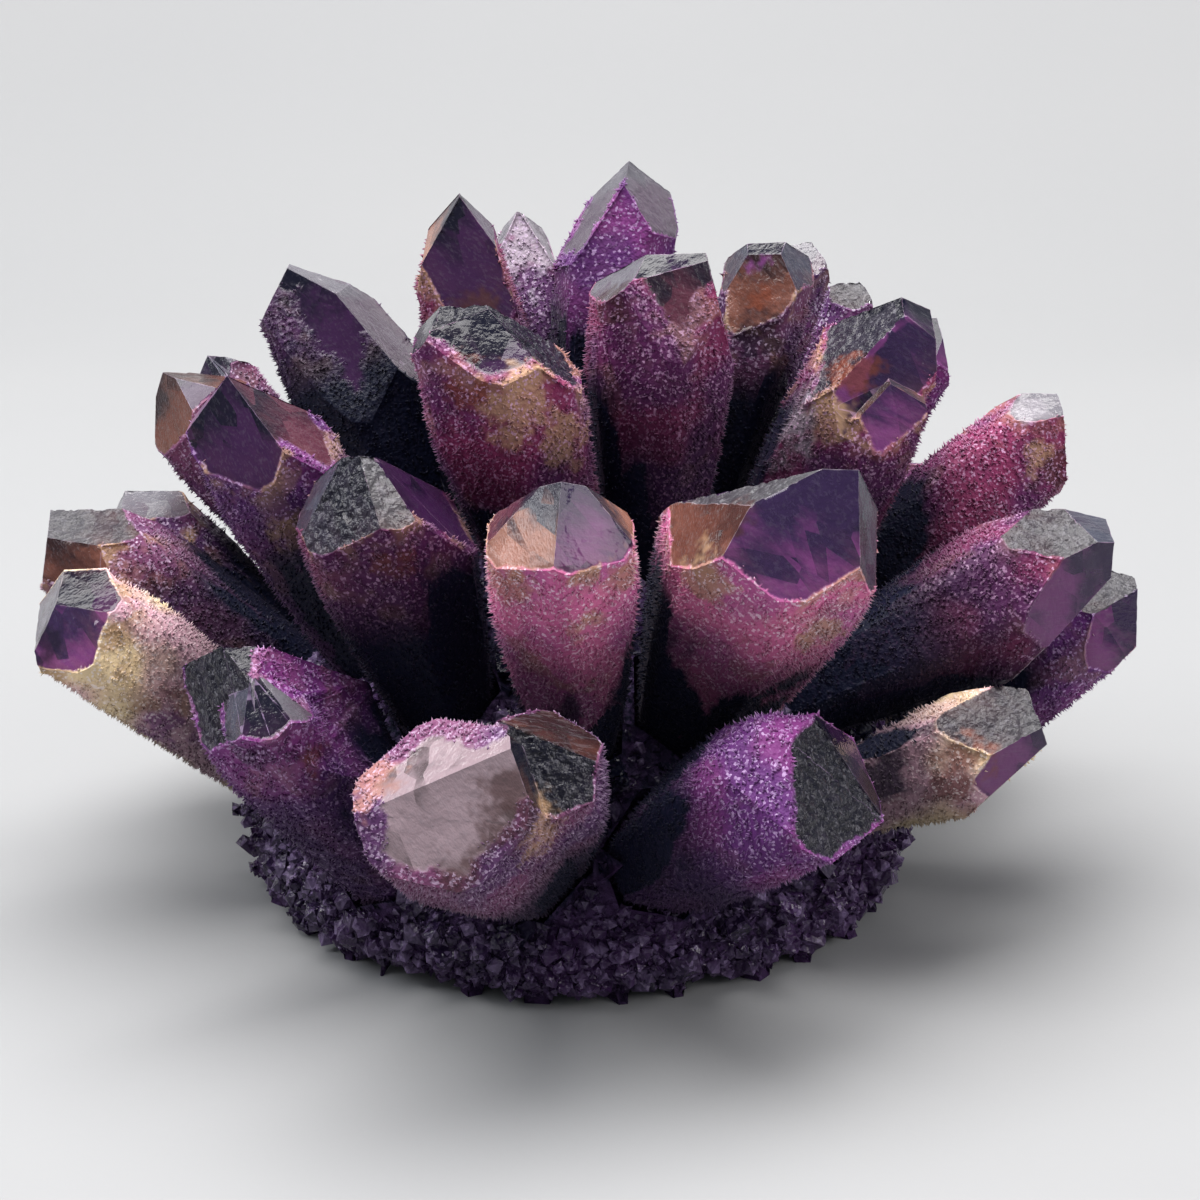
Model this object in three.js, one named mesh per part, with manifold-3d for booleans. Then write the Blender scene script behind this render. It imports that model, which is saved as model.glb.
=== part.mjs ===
// An amethyst cluster: stout quartz crystals that fan out of a domed, druse-covered matrix.
// Millimetres, +Z up. The origin is in the plane of the flat face that the cluster rests on, under the
// middle of the cluster. +X is to the right and -Y is towards the viewer. Each crystal is a solid of its
// own, set in a socket of the matrix. Crystals that have grown into each other are one solid.
import * as THREE from "three";
import { mergeVertices } from "three/addons/utils/BufferGeometryUtils.js";
import Module from "manifold-3d";

const wasm = await Module();
wasm.setup();

// Driving dimensions of every crystal
const SEAT = 8; // how far a root goes down into the matrix, below its foot
const GAP = 0.3; // clearance around a root in its socket
const ROOT = 0.5; // width at the root, as a share of the widest part
const BELLY = 0.62; // where the widest part is, as a share of the way from foot to tip
const SHOULDER = 0.9; // width near the tip, as a share of the widest part
const OVER = 0.3; // how far the body goes on past the tip before the facets cut it, as a share of the width
const EDGE_TURN = 8; // degrees that a corner of the blunted six-sided outline is turned from a regular one
const FLAT_AT = 45; // degrees from +X to the middle of a flat of that outline, before it is rolled
const QUARTZ_TILT = 50; // angle between the axis and the normal of a pyramid face
const SMALL_FACE_SET = 2.5; // every second pyramid face meets the axis this far past the tip: a small face

// Driving dimensions of the matrix
const MATRIX = {
  centre: [-4, 0],
  // [radius, height] from the middle of the resting face, round the rim and up to the top of the dome
  profile: [
    [0, 0], [51, 0], [57, 2.5], [60, 7], [59, 16], [55, 28], [47, 40], [36, 51], [22, 60], [8, 65], [0, 66],
  ],
  segments: 24,
  lump: 2.2, // height of its lumps
};

// The small crystals that cover the matrix and are fused to it, up to `top`: length and width of the
// largest, the distance between them and how deep they are sunk
const DRUSE = { spacing: 12.5, top: 38, width: 9, length: 6.5, sunk: 2.5 };

// foot and tip are the ends of the axis, with foot at the surface of the matrix. width is the widest part
// across the flats, and roll turns the six sides about the axis. The heart of a tip is on the axis, half a
// width below the tip. A facet is [azimuth, elevation, reach]: its normal points that many degrees from
// the front towards the right and that many degrees up, and it lies `reach` away from the heart.
// A crystal without facets ends in the six faces of a quartz pyramid. Twins have grown into the crystal.
const CRYSTALS = [
  { name: "crown_crystal_1", colour: "violet", width: 21, roll: 20, foot: [-3, 7, 65], tip: [5, 18, 127.5],
    facets: [[62, 36, 7], [-78, 36, 5], [178, 36, 7], [0, 20, 8.2]] },
  { name: "crown_crystal_2", colour: "plum", width: 20, roll: 0, foot: [-16, 4, 60], tip: [-25, 8, 124],
    facets: [[8, 24, 4], [-80, 34, 5.8], [-88, 12, 7], [85, 38, 5], [90, 20, 5.6], [180, 40, 6.8]] },
  { name: "crown_crystal_3", colour: "plum", width: 25, roll: 10, foot: [9, -10, 61], tip: [10.5, -12, 117],
    facets: [[90, 15, 10.5], [15, 22, 10.5], [-80, 50, 11], [-10, 68, 12], [180, 50, 8]] },
  { name: "crown_crystal_4", colour: "smoky", width: 18, roll: 30, foot: [17, 7, 60], tip: [31, 15, 113.5],
    facets: [[-90, 15, 7.6], [-75, 38, 7], [60, 35, 7.8], [-10, 70, 7.8], [-5, 30, 6], [180, 45, 7]] },
  { name: "crown_crystal_5", colour: "clear", width: 12, roll: 10, foot: [-5, 22, 60], tip: [-15.5, 38, 115],
    facets: [[0, 30, 2.5], [-80, 30, 4], [75, 40, 3.5], [180, 45, 5]] },
  { name: "crown_crystal_6", colour: "plum", width: 27, roll: 0, foot: [-7, -20, 58], tip: [-19.5, -28, 110.5],
    facets: [[85, 48, 9], [-20, 72, 14], [-85, 35, 15.5], [15, 45, 12], [180, 50, 9]] },
  { name: "crown_crystal_7", colour: "clear", width: 12, roll: 20, foot: [20, 20, 57], tip: [39, 32, 111],
    facets: [] },
  { name: "crown_crystal_8", colour: "clear", width: 12, roll: 5, foot: [27, 32, 50], tip: [50, 46, 101],
    facets: [] },
  { name: "shoulder_crystal_1", colour: "rose", width: 34, roll: 10, foot: [16, -37, 46], tip: [31, -60.5, 90.5],
    facets: [[-80, 68, 13], [5, 28, 16], [75, 8, 17], [-60, 40, 14.5], [180, 50, 7]] },
  { name: "shoulder_crystal_2", colour: "rose", width: 24, roll: 0, foot: [-4, -43, 43], tip: [-6.5, -69, 91.5],
    facets: [[-85, 42, 9.6], [-40, 30, 10], [30, 28, 10.5], [88, 40, 10], [180, 55, 6]] },
  { name: "shoulder_crystal_3", colour: "plum", width: 27, roll: 15, foot: [-26, -33, 43], tip: [-38, -49, 91],
    facets: [[-80, 30, 11.5], [-40, 30, 11.5], [30, 50, 12], [85, 42, 8.5], [180, 55, 8]] },
  { name: "shoulder_crystal_4", colour: "plum", width: 23, roll: 0, foot: [-40, -14, 46], tip: [-61.5, -22, 97.5],
    facets: [[-18, 22, 7], [-88, 38, 10.5], [70, 48, 5.5], [180, 45, 6.5]] },
  { name: "shoulder_crystal_5", colour: "clear", width: 25, roll: 0, foot: [-30, 11, 54], tip: [-53, 21, 108.5],
    facets: [[-88, 28, 12.5], [80, 65, 7.3], [80, 45, 6.3], [0, 28, 7], [180, 45, 9]] },
  { name: "shoulder_crystal_6", colour: "plum", width: 23, roll: 0, foot: [27, -6, 56.5], tip: [53, -2, 107],
    facets: [[90, 2, 10], [60, 50, 10], [10, 20, 7], [-60, 50, 5.2], [-85, 30, 8.8], [180, 45, 8]],
    twins: [{ width: 15, roll: 0, foot: [40, -10, 61], tip: [51, -10, 95],
      facets: [[5, 25, 5], [90, 10, 7.3], [-60, 50, 5.3], [60, 60, 6.5], [180, 40, 5]] }] },
  { name: "shoulder_crystal_7", colour: "violet", width: 17, roll: 0, foot: [33, 20, 49], tip: [62, 25, 98],
    facets: [] },
  { name: "shoulder_crystal_8", colour: "clear", width: 22, roll: 0, foot: [39, 3, 45], tip: [82.5, 14, 78.5],
    facets: [[0, 72, 12.5], [90, 5, 10.3], [20, 10, 9], [180, 30, 10], [60, -40, 9]] },
  { name: "side_crystal_1", colour: "plum", width: 26, roll: 0, foot: [38, -21, 42], tip: [86, -19, 66.5],
    facets: [[5, 66, 11.5], [90, 0, 12.6], [35, -5, 9.5], [60, 65, 13.3], [70, -40, 8.5], [180, 45, 10.5]] },
  { name: "side_crystal_2", colour: "violet", width: 24, roll: 0, foot: [56, 0, 20], tip: [95.5, 2, 51.5],
    facets: [[90, 0, 10.3], [0, 70, 10.5], [35, 10, 10], [150, 20, 9], [70, -45, 8.5]] },
  { name: "side_crystal_3", colour: "honey", width: 20, roll: 0, foot: [39, -35, 27], tip: [74, -38, 41.5],
    facets: [[0, 55, 7.5], [30, -10, 7.5], [90, 20, 9.6], [60, -40, 6.5], [170, 30, 7]] },
  { name: "side_crystal_4", colour: "honey", width: 24, roll: 0, foot: [-56, -14, 24], tip: [-96, -22, 58],
    facets: [[-10, 66, 10.5], [-15, 30, 10], [-85, -15, 8.8], [-75, 30, 10], [180, 30, 9], [-60, -50, 9]] },
  { name: "side_crystal_5", colour: "clear", width: 23, roll: 0, foot: [-54, 6, 33], tip: [-99, 10, 60],
    facets: [[-5, 72, 9.8], [-80, 10, 12.5], [-15, 20, 10.5], [180, 30, 8], [-60, -50, 10]],
    twins: [{ width: 15, roll: 0, foot: [-53, 13, 33], tip: [-88, 24, 64],
      facets: [[0, 75, 4.5], [-80, 25, 8], [180, 30, 6], [-60, -40, 6]] }] },
  { name: "side_crystal_6", colour: "clear", width: 21, roll: 0, foot: [-42, 16, 45], tip: [-80.5, 22, 88.5],
    facets: [],
    twins: [{ width: 13, roll: 20, foot: [-41, 23, 46], tip: [-74, 34, 89], facets: [] }] },
  { name: "skirt_crystal_1", colour: "violet", width: 27, roll: 0, foot: [-36, -44, 21], tip: [-56.5, -59, 63.5],
    facets: [[-50, 15, 11.5], [0, 65, 12], [180, 50, 6], [60, 30, 7]],
    twins: [{ width: 14, roll: 10, foot: [-43, -50, 34], tip: [-54, -69, 58.5],
      facets: [[-60, 30, 5.5], [10, 45, 5], [70, 50, 5], [180, 40, 5]] }] },
  { name: "skirt_crystal_2", colour: "smoky", width: 27, roll: 0, foot: [-12, -53, 23], tip: [-23.5, -98, 54],
    facets: [[-5, 20, 12.5], [-50, 62, 12.2]],
    twins: [{ width: 18, roll: 0, foot: [-7, -54, 26], tip: [-7.5, -88, 56],
      facets: [[20, 30, 8], [60, 60, 8], [80, 0, 8]] }] },
  { name: "skirt_crystal_3", colour: "plum", width: 30, roll: 0, foot: [11, -53, 25], tip: [37, -76, 49.5],
    facets: [[58, 25, 11], [-20, 40, 15.5], [75, 30, 12], [30, 75, 15.5], [60, -55, 11.4], [180, 50, 11]] },
  { name: "rear_crystal_1", colour: "violet", width: 20, roll: 10, foot: [6, 27, 56], tip: [14, 54, 92],
    facets: [] },
  { name: "rear_crystal_2", colour: "plum", width: 22, roll: 25, foot: [-22, 29, 52], tip: [-36, 54, 86],
    facets: [] },
  { name: "rear_crystal_3", colour: "plum", width: 23, roll: 0, foot: [22, 42, 42], tip: [33, 72, 73],
    facets: [] },
  { name: "rear_crystal_4", colour: "rose", width: 26, roll: 15, foot: [-6, 43, 45], tip: [-11, 76, 83],
    facets: [] },
  { name: "rear_crystal_5", colour: "violet", width: 22, roll: 40, foot: [-38, 34, 40], tip: [-62, 58, 70],
    facets: [] },
  { name: "rear_crystal_6", colour: "plum", width: 22, roll: 5, foot: [42, 25, 38], tip: [74, 44, 64],
    facets: [] },
  { name: "rear_crystal_7", colour: "honey", width: 22, roll: 10, foot: [-52, 24, 22], tip: [-87, 42, 40],
    facets: [] },
  { name: "rear_crystal_8", colour: "plum", width: 26, roll: 30, foot: [-30, 49, 22], tip: [-50, 84, 42],
    facets: [] },
  { name: "rear_crystal_9", colour: "violet", width: 27, roll: 0, foot: [1, 57, 20], tip: [6, 96, 40],
    facets: [] },
  { name: "rear_crystal_10", colour: "plum", width: 25, roll: 20, foot: [31, 49, 22], tip: [51, 82, 44],
    facets: [] },
  { name: "rear_crystal_11", colour: "honey", width: 23, roll: 45, foot: [51, 28, 18], tip: [84, 50, 40],
    facets: [] },
];

// Colour, roughness and metalness of the surfaces
const SURFACES = {
  plum: [0x4a2440, 0.55, 0],
  rose: [0x7a3f5c, 0.55, 0],
  violet: [0x5d3a6e, 0.5, 0],
  honey: [0x86694f, 0.55, 0],
  smoky: [0x4c3a44, 0.35, 0],
  clear: [0x8d86a0, 0.25, 0],
  matrix: [0x35203f, 0.6, 0],
};

// A repeatable random number from 0 to 1
function randomFrom(seed) {
  let state = seed;
  return () => {
    state = (state + 0x6d2b79f5) | 0;
    let t = Math.imul(state ^ (state >>> 15), 1 | state);
    t = (t + Math.imul(t ^ (t >>> 7), 61 | t)) ^ t;
    return ((t ^ (t >>> 14)) >>> 0) / 4294967296;
  };
}

const radians = THREE.MathUtils.degToRad;

// The solid inside a closed geometry
function solidOf(geometry) {
  const bare = geometry.clone();
  bare.deleteAttribute("normal");
  bare.deleteAttribute("uv");
  const merged = mergeVertices(bare, 1e-4);
  return new wasm.Manifold(
    new wasm.Mesh({
      numProp: 3,
      vertProperties: new Float32Array(merged.attributes.position.array),
      triVerts: new Uint32Array(merged.index.array),
    }),
  );
}

// The geometry of a solid
function geometryOf(solid) {
  const mesh = solid.getMesh();
  const geometry = new THREE.BufferGeometry();
  geometry.setAttribute("position", new THREE.BufferAttribute(mesh.vertProperties, 3));
  geometry.setIndex(new THREE.BufferAttribute(mesh.triVerts, 1));
  return geometry;
}

// Where a crystal stands: its foot is the origin of its own frame, and its axis that frame's +Z
function placeOf(crystal) {
  const foot = new THREE.Vector3(...crystal.foot);
  const axis = new THREE.Vector3(...crystal.tip).sub(foot);
  const length = axis.length();
  axis.normalize();
  const right = new THREE.Vector3(0, -1, 0).cross(axis).negate().normalize();
  const back = new THREE.Vector3().crossVectors(axis, right);
  const turn = new THREE.Matrix4().makeBasis(right, back, axis);
  const rotation = new THREE.Quaternion().setFromRotationMatrix(turn);
  return { foot, rotation, length };
}

// Turns the corners of a twelve-sided outline in pairs, which makes a hexagon with blunt corners
function bluntHexagon(geometry) {
  const position = geometry.attributes.position;
  for (let i = 0; i < position.count; i++) {
    const [x, y] = [position.getX(i), position.getY(i)];
    const corner = Math.round(THREE.MathUtils.radToDeg(Math.atan2(y, x)) / 30);
    const angle = radians(corner * 30 + (corner % 2 ? -EDGE_TURN : EDGE_TURN));
    const radius = Math.hypot(x, y);
    position.setXY(i, radius * Math.cos(angle), radius * Math.sin(angle));
  }
}

// The outline of a crystal before its tip is cut, from the axis to its flats: narrow at the root and
// widest at the belly
function bodyProfile(crystal, length, grow) {
  const half = crystal.width / 2;
  const root = half * ROOT;
  return [
    [0, -SEAT - grow],
    [root + grow, -SEAT - grow],
    [root + (half - root) * 0.62 + grow, length * BELLY * 0.42],
    [half + grow, length * BELLY],
    [half * SHOULDER + grow, length + crystal.width * OVER],
    [0, length + crystal.width * OVER],
  ];
}

// A six-sided body around a profile, with blunt corners if it is a crystal's
function sixSidedBody(crystal, profile, blunt) {
  const corner = Math.cos(radians(blunt ? 30 - EDGE_TURN : 30));
  const points = profile.map(([half, z]) => new THREE.Vector2(half / corner, z));
  const geometry = new THREE.LatheGeometry(points, blunt ? 12 : 6);
  geometry.rotateX(Math.PI / 2);
  if (blunt) bluntHexagon(geometry);
  geometry.rotateZ(radians(crystal.roll - (blunt ? FLAT_AT : 0)));
  return geometry;
}

// The facets of a tip as planes in the crystal's frame: [normal, distance along it]
function tipPlanes(crystal, rotation, length) {
  const inwards = rotation.clone().invert();
  const heart = length - crystal.width / 2;
  if (crystal.facets.length) {
    return crystal.facets.map(([azimuth, elevation, reach]) => {
      const [a, e] = [radians(azimuth), radians(elevation)];
      const normal = new THREE.Vector3(Math.sin(a) * Math.cos(e), -Math.cos(a) * Math.cos(e), Math.sin(e));
      normal.applyQuaternion(inwards);
      return [normal, normal.z * heart + reach];
    });
  }
  return Array.from({ length: 6 }, (_, side) => {
    const [a, t] = [radians(crystal.roll + side * 60), radians(QUARTZ_TILT)];
    const normal = new THREE.Vector3(Math.sin(t) * Math.cos(a), Math.sin(t) * Math.sin(a), Math.cos(t));
    return [normal, normal.z * (length + (side % 2 ? SMALL_FACE_SET : 0))];
  });
}

// One crystal in its own frame
function crystalSolid(crystal) {
  const { rotation, length } = placeOf(crystal);
  let solid = solidOf(sixSidedBody(crystal, bodyProfile(crystal, length, 0), true));
  for (const [normal, distance] of tipPlanes(crystal, rotation, length)) {
    solid = solid.trimByPlane(normal.clone().negate().toArray(), -distance);
  }
  return solid;
}

// Where a crystal stands in the cluster
function placeMatrix(crystal) {
  const { foot, rotation } = placeOf(crystal);
  return new THREE.Matrix4().compose(foot, rotation, new THREE.Vector3(1, 1, 1));
}

// What is cut out of the matrix for a crystal: its body with the clearance around it
function socketSolid(crystal) {
  const profile = bodyProfile(crystal, placeOf(crystal).length, GAP);
  return solidOf(sixSidedBody(crystal, profile, false).applyMatrix4(placeMatrix(crystal)));
}

function surface(name) {
  const [color, roughness, metalness] = SURFACES[name];
  return new THREE.MeshStandardMaterial({ color, roughness, metalness, flatShading: true });
}

// The mesh of one crystal, with those that have grown into it joined to it
function crystalMesh(crystal) {
  const { foot, rotation } = placeOf(crystal);
  const fromCluster = placeMatrix(crystal).invert();
  let solid = crystalSolid(crystal);
  for (const twin of crystal.twins ?? []) {
    const geometry = geometryOf(crystalSolid(twin)).applyMatrix4(placeMatrix(twin));
    solid = solid.add(solidOf(geometry.applyMatrix4(fromCluster)));
  }
  const mesh = new THREE.Mesh(geometryOf(solid), surface(crystal.colour));
  mesh.name = crystal.name;
  mesh.position.copy(foot);
  mesh.quaternion.copy(rotation);
  return mesh;
}

// How far the lumps lift the dome at an angle and a height
function lumpAt(angle, height) {
  const wave = Math.sin(3 * angle + height / 9) + Math.sin(7 * angle - height / 6 + 1) * 0.7;
  return (MATRIX.lump * (wave + Math.sin(11 * angle + height / 4) * 0.5)) / 2;
}

// The dome of the matrix, lumpy but flat below
function domeSolid() {
  const profile = MATRIX.profile.map(([r, z]) => new THREE.Vector2(r, z));
  const geometry = new THREE.LatheGeometry(profile, MATRIX.segments);
  geometry.rotateX(Math.PI / 2);
  const position = geometry.attributes.position;
  for (let i = 0; i < position.count; i++) {
    const [x, y, z] = [position.getX(i), position.getY(i), position.getZ(i)];
    const radius = Math.hypot(x, y);
    if (z < 1 || radius < 1) continue;
    const lift = 1 + lumpAt(Math.atan2(y, x), z) / radius;
    position.setXY(i, x * lift, y * lift);
  }
  geometry.translate(...MATRIX.centre, 0);
  return solidOf(geometry);
}

// Places along the dome's outline, one every so many millimetres: [radius, height, slope]
function placesOnDome(spacing) {
  const outline = new THREE.CurvePath();
  const points = MATRIX.profile.slice(1).map(([r, z]) => new THREE.Vector2(r, z));
  points.slice(1).forEach((end, i) => outline.add(new THREE.LineCurve(points[i], end)));
  const count = Math.floor(outline.getLength() / spacing);
  return Array.from({ length: count }, (_, i) => {
    const share = (i + 0.35) / count;
    const tangent = outline.getTangentAt(share);
    const point = outline.getPointAt(share);
    return [point.x, point.y, Math.atan2(-tangent.x, tangent.y)];
  });
}

// One small crystal of the druse, pointing out of the dome
function drusePoint(radius, height, slope, angle, random) {
  const size = 0.7 + 0.6 * random();
  const geometry = new THREE.ConeGeometry((DRUSE.width / 2) * size, DRUSE.length * size, 4);
  geometry.rotateX(Math.PI / 2);
  geometry.rotateZ(random() * Math.PI);
  geometry.translate(0, 0, (DRUSE.length * size) / 2 - DRUSE.sunk);
  geometry.rotateY(Math.PI / 2 - slope + (random() - 0.5) * 0.9);
  geometry.rotateZ((random() - 0.5) * 0.7);
  geometry.translate(radius, 0, height);
  geometry.rotateZ(angle);
  geometry.translate(...MATRIX.centre, 0);
  return solidOf(geometry);
}

// The matrix with its druse and with a socket for every crystal
function matrixMesh(crystals) {
  const random = randomFrom(7);
  let solid = domeSolid();
  for (const [radius, height, slope] of placesOnDome(DRUSE.spacing)) {
    if (height > DRUSE.top) continue;
    const count = Math.max(1, Math.round((2 * Math.PI * radius) / DRUSE.spacing));
    for (let i = 0; i < count; i++) {
      const angle = ((i + random() * 0.7) / count) * 2 * Math.PI;
      solid = solid.add(drusePoint(radius, height, slope, angle, random));
    }
  }
  solid = solid.trimByPlane([0, 0, 1], 0);
  for (const crystal of crystals.flatMap((each) => [each, ...(each.twins ?? [])])) {
    solid = solid.subtract(socketSolid(crystal));
  }
  const largest = solid.decompose().sort((a, b) => b.volume() - a.volume())[0];
  const mesh = new THREE.Mesh(geometryOf(largest), surface("matrix"));
  mesh.name = "matrix";
  return mesh;
}

const cluster = new THREE.Group();
cluster.add(matrixMesh(CRYSTALS), ...CRYSTALS.map(crystalMesh));

// The origin is under the middle of the cluster, in the plane that it rests on
const bounds = new THREE.Box3().setFromObject(cluster, true);
const middle = bounds.getCenter(new THREE.Vector3());
cluster.position.set(-middle.x, -middle.y, -bounds.min.z);

export default cluster;
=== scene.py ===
import math

import bpy
import numpy as np
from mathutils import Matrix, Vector
from mathutils.bvhtree import BVHTree
from mathutils.kdtree import KDTree


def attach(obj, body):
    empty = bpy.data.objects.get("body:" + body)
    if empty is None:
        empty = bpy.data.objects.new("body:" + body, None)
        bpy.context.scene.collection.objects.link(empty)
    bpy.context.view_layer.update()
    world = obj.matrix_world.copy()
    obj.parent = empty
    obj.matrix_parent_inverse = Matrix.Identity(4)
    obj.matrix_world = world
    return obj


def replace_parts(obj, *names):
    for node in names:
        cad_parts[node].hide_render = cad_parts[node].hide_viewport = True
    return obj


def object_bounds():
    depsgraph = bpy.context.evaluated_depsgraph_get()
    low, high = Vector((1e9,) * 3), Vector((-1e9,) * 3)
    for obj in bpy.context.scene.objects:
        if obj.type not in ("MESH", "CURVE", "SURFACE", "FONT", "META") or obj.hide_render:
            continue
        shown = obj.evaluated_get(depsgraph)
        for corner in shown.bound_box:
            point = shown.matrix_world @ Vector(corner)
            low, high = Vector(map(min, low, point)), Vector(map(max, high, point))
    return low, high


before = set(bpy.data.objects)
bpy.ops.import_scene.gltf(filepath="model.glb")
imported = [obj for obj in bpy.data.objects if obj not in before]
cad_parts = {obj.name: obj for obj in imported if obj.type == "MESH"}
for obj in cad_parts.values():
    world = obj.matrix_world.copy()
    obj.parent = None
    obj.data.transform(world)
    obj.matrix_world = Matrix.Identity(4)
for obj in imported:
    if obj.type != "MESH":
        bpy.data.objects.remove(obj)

MM = 0.001
SHIFT = np.array([3.673, 3.304, 0.0])  # from the cluster's own middle to the frame's origin
cad_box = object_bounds()
scene = bpy.context.scene
BOX = np.array([list(corner) for corner in cad_box])

# The camera
TARGET = (3.67, 3.30, 51.5)
CAMERA = (3.67, -424.7, 190.6)
LENS = 75

# What a facet looks like: its colour at the tip and lower down (linear), how clear and how rough it is, how
# strongly lined and how pitted, and how much of the warm border colour it takes
STYLE_KEYS = ("tint", "low", "clear", "rough", "lines", "pits", "warm")
STYLE_ROWS = {
    "dark": ((0.004, 0.004, 0.014), (0.034, 0.010, 0.048), 0.15, 0.10, 0.3, 0.1, 0.1),
    "violet": ((0.030, 0.014, 0.060), (0.170, 0.040, 0.170), 0.30, 0.08, 0.3, 0.15, 0.25),
    "grey": ((0.060, 0.064, 0.095), (0.045, 0.036, 0.065), 0.30, 0.18, 1.0, 0.2, 0.3),
    "rough": ((0.005, 0.005, 0.012), (0.018, 0.015, 0.028), 0.05, 0.20, 0.4, 1.0, 0.1),
    "pale": ((0.230, 0.220, 0.260), (0.170, 0.130, 0.180), 0.50, 0.15, 1.2, 0.3, 0.3),
    "stone": ((0.050, 0.048, 0.056), (0.030, 0.025, 0.034), 0.10, 0.32, 1.2, 0.8, 0.3),
    "brown": ((0.022, 0.010, 0.013), (0.120, 0.042, 0.030), 0.25, 0.15, 0.9, 0.2, 1.0),
    "beige": ((0.034, 0.033, 0.052), (0.380, 0.170, 0.120), 0.30, 0.18, 0.5, 0.1, 1.0),
    "magenta": ((0.090, 0.024, 0.100), (0.230, 0.030, 0.160), 0.15, 0.35, 0.2, 0.2, 0.3),
    "plum": ((0.012, 0.007, 0.020), (0.095, 0.025, 0.048), 0.15, 0.25, 0.2, 0.3, 0.5),
    "cloudy": ((0.420, 0.310, 0.350), (0.060, 0.046, 0.050), 0.40, 0.12, 0.8, 0.2, 0.6),
    "crust": ((0.1, 0.03, 0.08), (0.06, 0.02, 0.06), 0.0, 0.5, 0.0, 1.0, 1.0),
}
STYLES = {name: dict(zip(STYLE_KEYS, values)) for name, values in STYLE_ROWS.items()}


def row(slot, width, foot, tip, dark, ochre, bare=1.0, stains=(), facets=(), twin=None):
    """One crystal: its slot, its width, the foot and tip of its axis, how dark it is (partly its own darker
    tone and partly painted shade over the whole crystal), how ochre it is, how far below the tip the crust
    stays thin, its stains (degrees to the right of the front, distance below the tip, radius and colour), the
    looks of its facets by direction (degrees to the right and up, and if given how far the crust creeps over
    it), and the smaller crystal that has grown into it."""
    return dict(slot=slot, width=width, foot=foot, tip=tip, dark=dark, ochre=ochre, bare=bare, stains=stains,
                facets=facets, twin=twin)


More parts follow.
